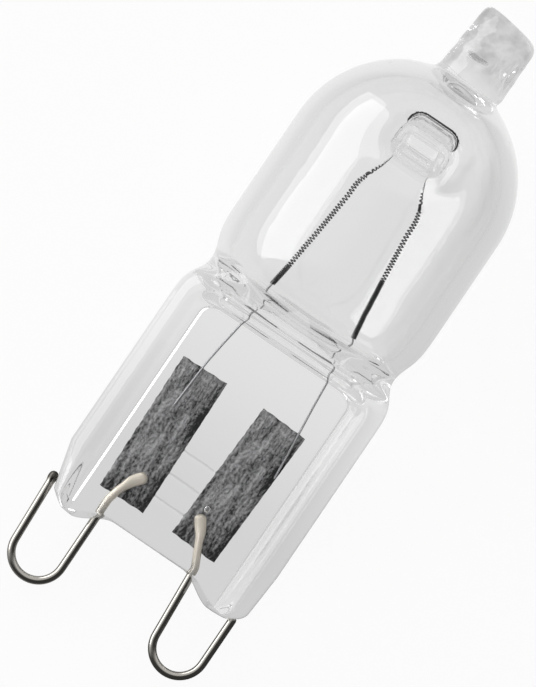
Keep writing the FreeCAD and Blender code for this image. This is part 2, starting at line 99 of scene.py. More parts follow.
FLANGE_DROP = 1.05
FOOT_ROUND = 0.16
TOOL_LINES = (5.8, 4.24, 2.67)
SUPPORT = (0.17, 28.0)
WAIST = (1.65, 1.2, 0.85)
DIMPLE = (1.3, 0.83, 0.4)
DIMPLE_DROP = 0.28
DIMPLE_WEB = 0.25
DIMPLE_MOUTH = 1.9
PIN_FACE = (0.15, 28.12)
PIN_FACE_SIZE = (1.0, 0.32, 0.1)
PIN_TAPER = 1.0
PIN_SCAR = (27.17, 0.98, 0.19, 0.19)
PILLAR_ROOT = 0.9
PIN_SLOPE = math.tan(math.radians(4))
BAND = (21.5, 31.4)
TIP_HEIGHT = 37.0
TIP_SLANT = math.tan(math.radians(9))
TIP_ROUNDING = 0.6
STUB_ROOT = 32.5
STUB_RADIUS = 2.16
STUB_TAPER = 0.055
STUB_OFFSET = 0.33
STUB_LEAN = 0.05
CAVITY_FLOOR = 14.45
TROUGH_HALF_WIDTH = 4.75
TROUGH_CORNER = 0.7
VOIDS = [((0.0, -0.9, 34.13), (0.64, 0.3, 0.24)), ((1.63, -0.5, 3.72), (0.19, 0.15, 0.21))]


def smooth_step(value, low, high):
    """Zero below low, one above high, and 3s^2 - 2s^3 at a share s of the way between."""
    share = np.clip((value - low) / (high - low), 0, 1)
    return share * share * (3 - 2 * share)


def soft_least(one, other, reach):
    """The smaller of two values, with the crease between them rounded over a reach."""
    share = np.clip(0.5 + 0.5 * (other - one) / reach, 0, 1)
    return other * (1 - share) + one * share - reach * share * (1 - share)


def bump(value, middle, spread):
    """A bell of height one: exp(-((value - middle) / spread)^2)."""
    return np.exp(-((value - middle) / spread) ** 2)


def box_distance(x, z, half_x, half_z, corner):
    """Distance of (x, z) outside a rectangle with round corners, negative inside."""
    over_x = np.abs(x) - half_x + corner
    over_z = np.abs(z) - half_z + corner
    outside = np.hypot(np.maximum(over_x, 0), np.maximum(over_z, 0))
    return outside + np.minimum(np.maximum(over_x, over_z), 0) - corner


def dome_half(z):
    """Half width of the round dome at a height: sqrt(R^2 - (z - centre)^2)."""
    return np.sqrt(np.maximum(BULB_RADIUS ** 2 - (z - DOME_HEIGHT) ** 2, 0))


def half_width(z, side=-1):
    """Front outline: bulb and pinch joined by a bell-shaped neck, under a round dome. The
    foot of the left flange is cut back more than the foot of the right one."""
    body = PINCH_HALF_WIDTH + (BULB_RADIUS - PINCH_HALF_WIDTH) * smooth_step(z, 14.5, 17)
    spread = np.where(z > NECK_HEIGHT, NECK_SPREAD[1], NECK_SPREAD[0])
    neck = NECK_DEEP * bump(z, NECK_HEIGHT, spread)
    left = np.asarray(side) < 0
    taper = np.where(left, *FOOT_TAPER) * np.maximum(2.7 - z, 0)
    start, depth, power = (np.where(left, a, b) for a, b in zip(*FOOT_CORNER))
    corner = depth * np.clip((start - z) / (start + FLANGE_DROP), 0, 1) ** power
    return np.where(z > DOME_HEIGHT, dome_half(z), body - neck - taper - corner)


def half_depth(z):
    """Side outline: a flat pinch, a small hollow blend, then the bulb's round shoulder."""
    rise = SHOULDER_BEND + PINCH_BLEND
    reach = BULB_RADIUS - SHOULDER_BEND
    blend_out = PINCH_HALF_DEPTH + PINCH_BLEND
    blend_height = SHOULDER_HEIGHT - math.sqrt(rise ** 2 - (blend_out - reach) ** 2)
    meet = SHOULDER_HEIGHT + (blend_height - SHOULDER_HEIGHT) * SHOULDER_BEND / rise
    drop = np.clip(SHOULDER_HEIGHT - z, 0, SHOULDER_BEND)
    shoulder = reach + np.sqrt(SHOULDER_BEND ** 2 - drop ** 2)
    climb = np.clip(z - blend_height, 0, PINCH_BLEND)
    hollow = blend_out - np.sqrt(PINCH_BLEND ** 2 - climb ** 2)
    lower = np.where(z > meet, shoulder, hollow)
    return np.where(z > DOME_HEIGHT, dome_half(z), lower)


def section_power(z):
    """Power of the section's superellipse: 2 on the round bulb, 5 on the flat pinch."""
    return 2 + 3 * (1 - smooth_step(z, 13.2, 16.3))


def funnel(gap, depth, foot, radius):
    """Depth of a skin at a gap outside a pin's outline: a wall rises from its foot with
    the pin's draft and turns over a round mouth into the face at the given depth."""
    lean = math.atan(PIN_SLOPE)
    radius = np.minimum(radius, 0.8 * depth)
    centre = (depth - radius - foot) * PIN_SLOPE + radius / math.cos(lean)
    touch = centre - radius * math.cos(lean)
    mouth = depth - radius + np.sqrt(radius ** 2 - np.clip(centre - gap, 0, radius) ** 2)
    return np.where(gap < touch, np.minimum(foot + gap / PIN_SLOPE, depth), mouth)


def dimple_depth(x, z, size):
    """Depth of a pin's dimple in a face: the pin's small flat end with a crisp rim, its
    tapered point out to the shank's outline with an oval scar below the end, and the
    shank's steep wall."""
    rim = box_distance(x - PIN_FACE[0], z - PIN_FACE[1], *PIN_FACE_SIZE)
    end = np.maximum(rim, 0)
    shank = box_distance(x - SUPPORT[0], z - SUPPORT[1] + DIMPLE_DROP, *DIMPLE)
    share = end / np.maximum(end - np.minimum(shank, 0), 1e-6)
    scar = box_distance(x - SUPPORT[0], z - PIN_SCAR[0], *PIN_SCAR[1:])
    point = DIMPLE_WEB + PIN_TAPER * share
    point = point - 0.2 * bump(scar, 0, 0.055) - 0.14 * bump(rim, 0.04, 0.055)
    return funnel(np.maximum(shank, 0), size, point, DIMPLE_MOUTH)


def pressed_depth(x, z, depth):
    """Depth of the outer skin after the jaws thinned the web and the pins pressed in. The
    web's wall leans out to the flanges and stands steeper at its top, and the jaws' marks
    lie across its front."""
    over_x = np.maximum(np.abs(x) - WEB_HALF_WIDTH + WEB_CORNER, 0)
    over_z = np.maximum(z - WEB_TOP + WEB_CORNER, 0)
    reach = np.hypot(over_x, over_z)
    outside = np.maximum(reach - WEB_CORNER, 0)
    share = (over_x / np.maximum(reach, 1e-6)) ** 2
    slope = JAW_SLOPES[0] * share + JAW_SLOPES[1] * (1 - share)
    outside = np.hypot(outside, WEB_FOOT_BEND) - WEB_FOOT_BEND
    marks = sum(bump(z, line + 0.03 * np.sin(9 * x), 0.06) for line in TOOL_LINES)
    marks = marks * (0.075 + 0.025 * np.sin(23 * x + 5 * z))
    marks = marks * smooth_step(x, -1.7, -1.2) * (1 - smooth_step(x, 0.5, 1.0))
    web = WEB_HALF_DEPTH + outside / slope - marks * (depth < 0)
    size = np.abs(depth)
    bulb = dimple_depth(x, z, size)
    pinch = soft_least(size, web, FLANGE_EDGE_BEND)
    return np.sign(depth) * np.where(z > BAND[0] - 2, bulb, pinch)


def shell_point(x, z, width, front):
    """A place of the outer skin: y = d (1 - |x / w|^p)^(1 / p), then pressed."""
    power = section_power(z)
    ratio = np.clip(np.abs(x / width), 0, 1)
    depth = half_depth(z) * (1 - ratio ** power) ** (1 / power)
    depth = pressed_depth(x, z, np.where(front, -depth, depth))
    return np.stack((x, depth, z), -1)


def ring_turns():
    """Angles of a ring's columns, closest together where the web's walls stand."""
    quarter = np.radians(np.concatenate([
        np.linspace(0, 24, 10)[:-1], np.linspace(24, 47, 26)[:-1], np.linspace(47, 90, 18)[:-1]]))
    half = np.concatenate([quarter, [np.pi / 2], np.pi - quarter[:0:-1]])
    return np.concatenate([half, half + np.pi])


def body_rows(turn):
    """Rings of the pinch, the neck and the lower bulb. The lowest close the foot, whose
    web ends higher than its flanges."""
    marks = [line + np.linspace(-0.15, 0.15, 7) for line in TOOL_LINES]
    height = np.concatenate([
        np.linspace(FOOT_ROUND - FLANGE_DROP, 0.2, 11), np.linspace(0.4, 2.2, 8), *marks,
        np.linspace(3.1, 3.9, 3), np.linspace(4.6, 5.4, 3), np.linspace(6.4, 13.0, 12),
        np.linspace(13.2, 15.6, 30), np.linspace(15.7, 18.6, 16), np.linspace(18.9, BAND[0], 7)])
    height = np.sort(height)[:, None]
    width = half_width(height, np.cos(turn))
    z = height + 0 * turn
    skin = shell_point(width * np.cos(turn), z, width, np.sin(turn) < 0)
    flank = 1 - smooth_step(np.abs(skin[..., 0]), 2.8, 5.75)
    skin[..., 2] += FLANGE_DROP * flank * (1 - smooth_step(z, FOOT_ROUND - FLANGE_DROP, 2.2))
    foot = skin[:1] * np.ones((6, 1, 1))
    share = np.array((1.0, 0.8, 0.55, 0.3, 0.14, 0.04))[:, None]
    foot[..., 1] *= 1 - share
    foot[..., 0] *= 1 - 0.15 * share
    foot[..., 2] -= FOOT_ROUND * np.sqrt(share)
    return np.concatenate([foot, skin])


def tip_rows(turn):
    """Rings of the crown and the sealed stub, whose melted top slants. The stub is uneven,
    and folded at the front where it was pinched."""
    height = np.concatenate([
        np.linspace(BAND[1], 32.0, 6)[:-1], np.linspace(32.0, 33.1, 15)[:-1],
        np.linspace(33.1, TIP_HEIGHT - TIP_ROUNDING, 38)])[:, None]
    z = height + 0 * turn
    stub = STUB_RADIUS - STUB_TAPER * (z - STUB_ROOT)
    uneven = np.sin(2 * turn + 1.1 * z) + 0.8 * np.sin(3 * turn - 2.3 * z) * np.sin(1.7 * z)
    uneven = uneven + 0.7 * np.sin(5 * turn + 4.1 * z) + 0.6 * np.sin(9 * turn - 5.3 * z)
    across = np.cos(turn)
    stub = stub + 0.045 * uneven * (1 - 0.7 * across ** 2) * smooth_step(z, 32.9, 34)
    folded = smooth_step(across, 0.2, 0.45) * (1 - smooth_step(across, 0.8, 0.95))
    folded = folded * bump(z, 34.2, 0.7) * (np.sin(turn) < 0)
    stub = stub - 0.2 * folded * (0.5 + 0.5 * np.cos(20 * turn))
    width = -soft_least(-dome_half(z), -stub, 0.45)
    shift = smooth_step(z, 31.9, 33.0) * (STUB_OFFSET + STUB_LEAN * (z - STUB_ROOT))
    x = shift + width * np.cos(turn)
    y = width * np.sin(turn)
    bend = np.radians(np.array((18, 36, 54, 72, 90)))[:, None]
    drawn = 1 - TIP_ROUNDING / width[-1] * (1 - np.cos(bend))
    inside = np.array((0.8, 0.6, 0.4, 0.2, 0.0))[:, None] * drawn[-1]
    scale = np.concatenate([drawn, inside * (1 + 0 * turn)])
    top_x = shift[-1] + (x[-1] - shift[-1]) * scale
    top_y = y[-1] * scale
    rise = np.concatenate([np.sin(bend), np.ones((5, 1))]) * TIP_ROUNDING
    top_z = height[-1] + rise + 0 * turn
    x, y, z = np.concatenate([x, top_x]), np.concatenate([y, top_y]), np.concatenate([z, top_z])
    z = z - TIP_SLANT * (x - STUB_OFFSET) * smooth_step(z, 34.5, TIP_HEIGHT)
    return np.stack((x, y, z), -1)


def face_patch(turn):
    """Front of the bulb between the body and the crown. Rays run from the middle of the
    pin's flat end to a frame of the ring's columns and the bulb's two sides, so that the
    rows follow the dimple."""
    column = np.cos(turn[turn >= np.pi])
    column = np.append(column, 1.0)
    side_z = np.linspace(*BAND, 41)[1:-1]
    low_x, top_x = half_width(BAND[0]) * column, dome_half(BAND[1]) * column
    frame_x = np.concatenate([low_x, half_width(side_z), top_x[::-1], -half_width(side_z[::-1])])
    frame_z = np.concatenate([np.full(low_x.shape, BAND[0]), side_z,
                              np.full(top_x.shape, BAND[1]), side_z[::-1]])
    run_x, run_z = frame_x - PIN_FACE[0], frame_z - PIN_FACE[1]
    length = np.hypot(run_x, run_z)
    low, high = 0 * length, 1 + 0 * length
    for _ in range(40):
        middle = (low + high) / 2
        within = box_distance(run_x * middle, run_z * middle, *PIN_FACE_SIZE) < 0
        low, high = np.where(within, middle, low), np.where(within, high, middle)
    foot = low
    cap = np.array((0.0, 0.5, 0.9))[:, None] * foot
    reach = length * (1 - foot)
    near = np.minimum(1.5, reach * 0.35) / length
    mouth = np.minimum(1.9, reach * 0.3) / length
    far = np.minimum(1.8, reach * 0.3) / length
    between = 1 - foot - near - mouth - far
    steps = [foot + np.linspace(0, 1, 29)[:-1, None] * near,
             foot + near + np.linspace(0, 1, 13)[:-1, None] * mouth,
             foot + near + mouth + np.linspace(0, 1, 6)[:-1, None] * between,
             1 - far + np.sin(np.linspace(0, 1, 13)[:, None] * np.pi / 2) * far]
    share = np.concatenate([cap, *steps])
    x, z = PIN_FACE[0] + run_x * share, PIN_FACE[1] + run_z * share
    x[-1], z[-1] = frame_x, frame_z
    return shell_point(x, z, half_width(z), True)


def cavity_depth(x, z):
    """Half depth of the gas space at a place on the lamp's middle plane, zero outside: a
    trough over the web, the bulb's inner wall and the dome under the melted stub."""
    up = z - CAVITY_FLOOR - 0.3 * (x / 4.7) ** 2
    width = half_width(z) - WALL
    drop = np.clip(TROUGH_CORNER - up, 0, TROUGH_CORNER)
    base = TROUGH_HALF_WIDTH - TROUGH_CORNER + np.sqrt(TROUGH_CORNER ** 2 - drop ** 2)
    base = base + np.maximum(up - 0.5, 0) * 0.6
    width = np.where(z < 17.5, soft_least(width, base, 0.2), width)
    inner_bend = SHOULDER_BEND - WALL
    fall = np.clip(SHOULDER_HEIGHT - z, 0, inner_bend)
    bulb = BULB_RADIUS - SHOULDER_BEND + np.sqrt(inner_bend ** 2 - fall ** 2)
    trough = 0.8 * np.sqrt(np.clip(up / 0.4, 0, 1)) + 0.15 * np.clip(up, 0, 9)
    trough = trough + 4.5 * np.maximum(up - 0.75, 0)
    depth = np.maximum(soft_least(bulb, trough, 0.3), 0) * (up > 0)
    power = 2 + 1.6 * (1 - smooth_step(z, 14.5, 16.3))
    ratio = np.clip(np.abs(x) / np.maximum(width, 1e-6), 0, 1)
    lower = depth * (1 - ratio ** power) ** (1 / power)
    inner = BULB_RADIUS - WALL
    dome = np.sqrt(np.maximum(inner ** 2 - (z - DOME_HEIGHT) ** 2 - x ** 2, 0))
    return np.where(z > DOME_HEIGHT, dome, lower)


def void_skin(middle, half_sizes):
    """Wall of a gas bubble shut in the glass: an ellipsoid, from its lowest place up."""
    height = np.radians(np.linspace(-90, 90, 17))[:, None]
    about = np.radians(np.linspace(0, 360, 32, endpoint=False))[None, :]
    ball = np.stack((np.cos(height) * np.cos(about), np.cos(height) * np.sin(about),
                     np.sin(height) + 0 * about), -1)
    return np.array(middle) + ball * half_sizes


def cavity_skin():
    """Wall of the gas space, as a ring round the pins' pillar: rays leave the pillar's
    waist over the front to the outline and come back over the back."""
    down = np.linspace(-118, -62, 96)[:-1]
    about = np.linspace(-62, 242, 101)[:-1]
    angle = np.radians(np.concatenate([down, about]))
    along = np.stack((np.cos(angle), np.sin(angle)))

    def last_inside(inside, low, high):
        """Halve each ray's span again and again towards the place where a test ends."""
        low, high = np.full(angle.shape, low), np.full(angle.shape, high)
        for _ in range(40):
            middle = (low + high) / 2
            holds = inside(SUPPORT[0] + along[0] * middle, SUPPORT[1] + along[1] * middle)
            low, high = np.where(holds, middle, low), np.where(holds, high, middle)
        return low

    waist = last_inside(
        lambda x, z: box_distance(x - SUPPORT[0], z - SUPPORT[1], *WAIST) < 0, 0.0, 3.0)
    edge = last_inside(lambda x, z: cavity_depth(x, z) > 0, 1.8, 16.0)
    reach = edge - waist
    near = np.minimum(2.4, reach * 0.42)
    far = np.minimum(2.8, reach * 0.42)
    radius = waist + np.concatenate([
        np.linspace(0, 1, 28)[:-1, None] ** 2.0 * near,
        near + np.linspace(0, 1, 9)[:-1, None] * (reach - near - far),
        reach - far + np.sin(np.linspace(0, 1, 20)[:, None] * np.pi / 2) * far])
    x = SUPPORT[0] + along[0] * radius
    z = SUPPORT[1] + along[1] * radius
    gap = np.maximum(box_distance(x - SUPPORT[0], z - SUPPORT[1], *WAIST), 0)
    wall = cavity_depth(x, z)
    depth = np.minimum(funnel(gap, wall, np.sqrt(1.2 * gap), PILLAR_ROOT), wall)
    depth[0] = 0
    depth[-1] = 0
    front = np.stack((x, -depth, z), -1)
    back = np.stack((x, depth, z), -1)[-2:0:-1]
    return np.concatenate([front, back])


def grid_faces(grid, first=0, loop_rows=False, flip=False):
    """Quads of a grid whose columns close on themselves, and its rows too if asked."""
    rows, columns = grid.shape[:2]
    row = np.arange(rows if loop_rows else rows - 1)[:, None]
    column = np.arange(columns)[None, :]
    ahead, beside = (row + 1) % rows, (column + 1) % columns
    corners = [row * columns + column, row * columns + beside,
               ahead * columns + beside, ahead * columns + column]
    return first + np.stack(corners[::-1] if flip else corners, -1).reshape(-1, 4)


def add_piece(name, skins, uv=None):
    """Make a smooth piece of one or more skins, each a grid with what grid_faces is to do
    with it, merge its doubled points and ride it on the lamp."""
    points = np.concatenate([grid.reshape(-1, 3) for grid, how in skins])
    starts = np.cumsum([0] + [grid.shape[0] * grid.shape[1] for grid, how in skins])
    faces = np.concatenate([grid_faces(grid, first, **how)
                            for (grid, how), first in zip(skins, starts)])
    mesh = bpy.data.meshes.new(name)
    mesh.from_pydata(lay(points).tolist(), [], faces.tolist())
    if uv is not None:
        corner = np.empty(len(mesh.loops), int)
        mesh.loops.foreach_get("vertex_index", corner)
        layer = mesh.uv_layers.new(name="along_and_across")
        layer.data.foreach_set("uv", uv.reshape(-1, 2)[corner].ravel())
    shell = bmesh.new()
    shell.from_mesh(mesh)
    bmesh.ops.remove_doubles(shell, verts=shell.verts, dist=2e-6)
    shell.to_mesh(mesh)
    shell.free()
    mesh.polygons.foreach_set("use_smooth", np.ones(len(mesh.polygons), bool))
    piece = bpy.data.objects.new(name, mesh)
    bpy.context.collection.objects.link(piece)
    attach(piece, "root")
    return piece


def linear(hex_colour):
    """An sRGB colour written as hex, in linear light."""
    channels = [int(hex_colour[i:i + 2], 16) / 255 for i in (1, 3, 5)]
    return [c / 12.92 if c <= 0.04045 else ((c + 0.055) / 1.055) ** 2.4
            for c in channels] + [1.0]


def add_node(tree, kind, settings=(), **inputs):
    """Add a node, set its settings, and fill or link its inputs: each is named by its
    socket's name with _ for a space, or by _ and its number."""
    node = tree.nodes.new(kind)
    for key, value in dict(settings).items():
        setattr(node, key, value)
    for key, value in inputs.items():
        place = int(key[1:]) if key[0] == "_" else key.replace("_", " ")
        if isinstance(value, bpy.types.NodeSocket):
            tree.links.new(value, node.inputs[place])
        else:
            node.inputs[place].default_value = value
    return node


def new_tree(owner):
    """Turn on an owner's nodes and return its emptied tree."""
    owner.use_nodes = True
    owner.node_tree.nodes.clear()
    return owner.node_tree


# Fused quartz, fire polished: clear, colourless and smooth, with the faint waves of blown
# glass, greyed in noisy patches towards the stub's end, and with painted shade in three
# fuzzy grey lines across the web along the grooves that the jaws left. Light on its way to
# the floor is only dimmed by the surfaces that it crosses, and light caught inside for long
# comes out at the room's own level.
quartz = bpy.data.materials.new("fused_quartz_fire_polished")
tree = new_tree(quartz)
place = add_node(tree, "ShaderNodeTexCoord")
spot = add_node(tree, "ShaderNodeSeparateXYZ", Vector=place.outputs["Object"])
speckle_noise = add_node(tree, "ShaderNodeTexNoise", Vector=place.outputs["Object"], Scale=800.0,
                 Detail=3.0)
grey_patches = add_node(tree, "ShaderNodeMapRange", _0=speckle_noise.outputs["Fac"], _1=0.4, _2=0.62,
                  _3=0.25, _4=1.0)
# Grey in noisy patches towards the stub's end
near_tip = add_node(tree, "ShaderNodeMapRange", {"interpolation_type": "SMOOTHSTEP"},
                    _0=spot.outputs["X"], _1=0.0157, _2=0.0178)
stub_grey = add_node(tree, "ShaderNodeMath", {"operation": "MULTIPLY"},
                  _0=grey_patches.outputs[0], _1=near_tip.outputs[0])
# The three lines lie 1.56 mm apart along the lamp's axis, so a pingpong of half that finds
# the distance to the nearest one
along = add_node(tree, "ShaderNodeVectorMath", {"operation": "DOT_PRODUCT"},
                 _0=place.outputs["Object"], _1=lamp_up.tolist())
wander = add_node(tree, "ShaderNodeMath", {"operation": "MULTIPLY_ADD"},
                  _0=speckle_noise.outputs["Fac"], _1=0.0003, _2=along.outputs["Value"])
shifted = add_node(tree, "ShaderNodeMath", {"operation": "ADD"}, _0=wander.outputs[0],
                   _1=0.01005)
to_line = add_node(tree, "ShaderNodeMath", {"operation": "PINGPONG"},
                   _0=shifted.outputs[0], _1=0.00078)
# Painted shade: the glass is greyed along the three grooves that the jaws left across the web,
# between the foils
line = add_node(tree, "ShaderNodeMapRange", {"interpolation_type": "SMOOTHSTEP"},
                _0=to_line.outputs[0], _1=0.00002, _2=0.00012, _3=0.6, _4=0.0)
on_web = add_node(tree, "ShaderNodeMath", {"operation": "COMPARE"},
                  _0=along.outputs["Value"], _1=-0.0102, _2=0.0022)
between = add_node(tree, "ShaderNodeMath", {"operation": "COMPARE"},
                   _0=spot.outputs["Y"], _1=0.0004, _2=0.0011)
inside = add_node(tree, "ShaderNodeMath", {"operation": "MULTIPLY"},
                  _0=on_web.outputs[0], _1=between.outputs[0])
groove_shade_and_stub_grey = add_node(tree, "ShaderNodeMath", {"operation": "MULTIPLY_ADD"},
                  _0=line.outputs[0], _1=inside.outputs[0], _2=stub_grey.outputs[0])
glass_tone_with_shade = add_node(tree, "ShaderNodeMix", {"data_type": "RGBA"}, _0=groove_shade_and_stub_grey.outputs[0],
                _6=linear("#FAFAFA"), _7=linear("#C4C4C4"))
waves = add_node(tree, "ShaderNodeTexNoise", Vector=place.outputs["Object"], Scale=330.0,
                 Detail=1.0)
ripple = add_node(tree, "ShaderNodeBump", Strength=0.05, Distance=0.0001,
                  Height=waves.outputs["Fac"])
glass = add_node(tree, "ShaderNodeBsdfPrincipled", Base_Color=glass_tone_with_shade.outputs[2],
                 Roughness=0.0, IOR=1.458, Transmission_Weight=1.0,
                 Normal=ripple.outputs["Normal"])
dimmed = add_node(tree, "ShaderNodeBsdfTransparent", Color=(0.9, 0.9, 0.9, 1))
caught = add_node(tree, "ShaderNodeEmission", Color=(0.66, 0.66, 0.66, 1), Strength=1.0)
path = add_node(tree, "ShaderNodeLightPath")
long_way = add_node(tree, "ShaderNodeMath", {"operation": "GREATER_THAN"},
                    _0=path.outputs["Ray Depth"], _1=9.5)
turned_back = add_node(tree, "ShaderNodeMath", {"operation": "GREATER_THAN"},
                       _0=path.outputs["Glossy Depth"], _1=2.5)
deep = add_node(tree, "ShaderNodeMath", {"operation": "MAXIMUM"},
                _0=long_way.outputs[0], _1=turned_back.outputs[0])
within = add_node(tree, "ShaderNodeMixShader", _0=deep.outputs[0], _1=glass.outputs[0],
                  _2=caught.outputs[0])
whole = add_node(tree, "ShaderNodeMixShader", _0=path.outputs["Is Shadow Ray"],
                 _1=within.outputs[0], _2=dimmed.outputs[0])
add_node(tree, "ShaderNodeOutputMaterial", Surface=whole.outputs[0])

turn = ring_turns()
face = face_patch(turn)
envelope = add_piece("quartz_envelope_glass", [
    (body_rows(turn), {}), (tip_rows(turn), {}), (face, {"flip": True}),
    (face * (1, -1, 1), {}), (cavity_skin(), {"loop_rows": True}),
    *[(void_skin(*void), {"flip": True}) for void in VOIDS]])
envelope.data.materials.append(quartz)
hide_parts("quartz_envelope")

# Filament: a fine tungsten wire wound to a coil of 0.35 mm, close wound at the foot of
# each leg and where it hooks over the pins' pillar, open in the legs and plain between.
# The open turns stand half as wide again apart as real ones would, so that they show.
COIL_WIRE = 0.08
COIL_DIAMETER = 0.35
CLOSE_PITCH = 0.095
OPEN_PITCH = 0.2
BRIDGE_WIRE = 0.13
COIL_LEGS = {
    "left": ((-2.56, 0.12, 16.5), (-1.87, 0.02, 23.4), (-1.84, 0.0, 24.5), (-1.62, 0.0, 25.0)),
    "right": ((2.99, 0.12, 16.55), (2.29, 0.02, 23.4), (2.27, 0.0, 24.4), (2.08, 0.0, 25.0)),
}
CLOSE_LENGTH = {"left": 1.6, "right": 3.9}


def measure(path):
    """Length of a path up to each of its points."""
    return np.concatenate([[0], np.cumsum(np.linalg.norm(np.diff(path, axis=0), axis=1))])


def ease(corners, count, soft):
    """A path through chosen points: even steps along the straight runs, each then the mean
    of its neighbours within a soft length, so that the corners turn round."""
    corners = np.array(corners, float)
    at = measure(corners)
    reach = np.linspace(0, at[-1], count)
    path = np.stack([np.interp(reach, at, corners[:, i]) for i in range(3)], 1)
    half = max(1, round(soft / at[-1] * count))
    head = 2 * path[0] - path[half:0:-1]
    tail = 2 * path[-1] - path[-2:-2 - half:-1]
    weight = np.hanning(2 * half + 3)[1:-1]
    padded = np.concatenate([head, path, tail])
    return np.stack([np.convolve(padded[:, i], weight / weight.sum(), "valid")
                     for i in range(3)], 1)


def unit(vectors):
    """Vectors scaled to length one."""
    return vectors / np.linalg.norm(vectors, axis=-1, keepdims=True)


def wire_skin(path, across, wide, deep, sides):
    """Skin of a wire: at each place of its path an ellipse square to the path, with its
    first half size towards a given direction, and a round nose on both ends."""
    ahead = unit(np.gradient(path, axis=0))
    wide, deep = wide + 0 * path[:, 0], deep + 0 * path[:, 0]
    nose = np.radians(np.array((90, 60, 30)))
    bulge = np.sin(nose)[:, None] * deep[0]
    path = np.concatenate([path[0] - ahead[0] * bulge, path, path[-1] + ahead[-1] * bulge[::-1]])
    scale = np.concatenate([np.cos(nose), np.ones(len(wide)), np.cos(nose[::-1])])[:, None]
    spread = [np.concatenate([np.repeat(values[:1], 3, 0), values, np.repeat(values[-1:], 3, 0)])
              for values in (wide[:, None], deep[:, None], ahead, across + 0 * ahead)]
    wide, deep, ahead, across = spread
    side = unit(across - (across * ahead).sum(1, keepdims=True) * ahead)
    other = np.cross(ahead, side)
    angle = np.linspace(0, 2 * np.pi, sides, endpoint=False)[None, :, None]
    return (path[:, None] + (wide * scale)[:, None] * np.cos(angle) * side[:, None]
            + (deep * scale)[:, None] * np.sin(angle) * other[:, None])


def wire_uv(skin, path):
    """Map of a wire's skin in millimetres: its length along u, and round it along v."""
    along = measure(path)
    along = np.concatenate([np.full(3, along[0]), along, np.full(3, along[-1])])
    round_about = np.arange(skin.shape[1]) / skin.shape[1]
    return np.stack(np.broadcast_arrays(along[:, None], round_about[None, :]), -1)


BACKWARD = np.array((0.0, 1.0, 0.0))


def coil_skin(path, close_length):
    """Turns of the coil: a helix round a path whose pitch opens after the close wound
    length, c(s) + r (cos(a) n + sin(a) b), where a grows by a turn for each pitch."""
    along = measure(path)
    opened = smooth_step(along, close_length - 0.15, close_length + 0.25)
    uneven = 0.02 * np.sin(along * 2.1) * opened
    pitch = CLOSE_PITCH + (OPEN_PITCH - CLOSE_PITCH) * opened + uneven
    turns = np.concatenate([[0], np.cumsum(np.diff(along) / pitch[1:])])
    angle = np.linspace(0, turns[-1], int(turns[-1] * 14)) * 2 * np.pi
    reach = np.interp(angle / (2 * np.pi), turns, along)
    centre = np.stack([np.interp(reach, along, path[:, i]) for i in range(3)], 1)
    ahead = unit(np.gradient(centre, axis=0))
    side_way = unit(BACKWARD - (ahead @ BACKWARD)[:, None] * ahead)
    other = np.cross(ahead, side_way)
    out = np.cos(angle)[:, None] * side_way + np.sin(angle)[:, None] * other
    radius = (COIL_DIAMETER - COIL_WIRE) / 2
    radius = radius - 0.03 * smooth_step(reach, along[-1] - 0.8, along[-1])
    spiral = centre + out * np.reshape(radius, (-1, 1))
    return wire_skin(spiral, out, COIL_WIRE / 2, COIL_WIRE / 2, 6)


# Tungsten, drawn and burnt in: dark grey wire with a dull shine
tungsten = bpy.data.materials.new("tungsten_drawn_wire")
tree = new_tree(tungsten)
metal = add_node(tree, "ShaderNodeBsdfPrincipled", Base_Color=linear("#232324"),
                 Roughness=0.45, Metallic=1.0)
add_node(tree, "ShaderNodeOutputMaterial", Surface=metal.outputs[0])

left_top, right_top = COIL_LEGS["left"][-1], COIL_LEGS["right"][-1]
BRIDGE_PLAY = 0.02
bridge_turn = WAIST[2] + COIL_DIAMETER / 2 + BRIDGE_PLAY
bridge_flat = WAIST[0] - WAIST[2]
bridge_z = SUPPORT[1] + WAIST[1] - WAIST[2]
arc = np.radians(np.linspace(180, 0, 25))
corner_x = SUPPORT[0] + np.sign(np.cos(arc)) * bridge_flat + bridge_turn * np.cos(arc)
corner_z = bridge_z + bridge_turn * np.sin(arc)
over = np.stack((corner_x, 0 * arc, corner_z), 1)
bridge = np.concatenate([[left_top, (-1.42, 0, 25.9)], over, [(1.8, 0, 25.9), right_top]])
bridge = ease(bridge, 160, 0.12)
hooked = ease(over[3:-3], 200, 0.1)
skins = [(coil_skin(ease(COIL_LEGS[side], 400, 0.35), CLOSE_LENGTH[side]), {})
         for side in COIL_LEGS]
skins += [(coil_skin(hooked, measure(hooked)[-1] + 1), {}),
          (wire_skin(bridge, BACKWARD, BRIDGE_WIRE / 2, BRIDGE_WIRE / 2, 10), {})]
filament = add_piece("filament_coil_turns", skins)
filament.data.materials.append(tungsten)
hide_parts("filament_coil")

# Foils: two strips of rolled molybdenum, etched thin at their long edges, that carry the
# current through the pressed web. The glass grips them, so they are creased and mottled.
FOIL_FOOT = 1.4
FOIL_LENGTH = 8.95
FOIL_HALF_WIDTH = 1.525
FOIL_HALF_THICK = 0.025
FOIL_DEPTH = 0.245
FOILS = {"left": (-2.93, 1.15), "right": (2.36, -2.3)}


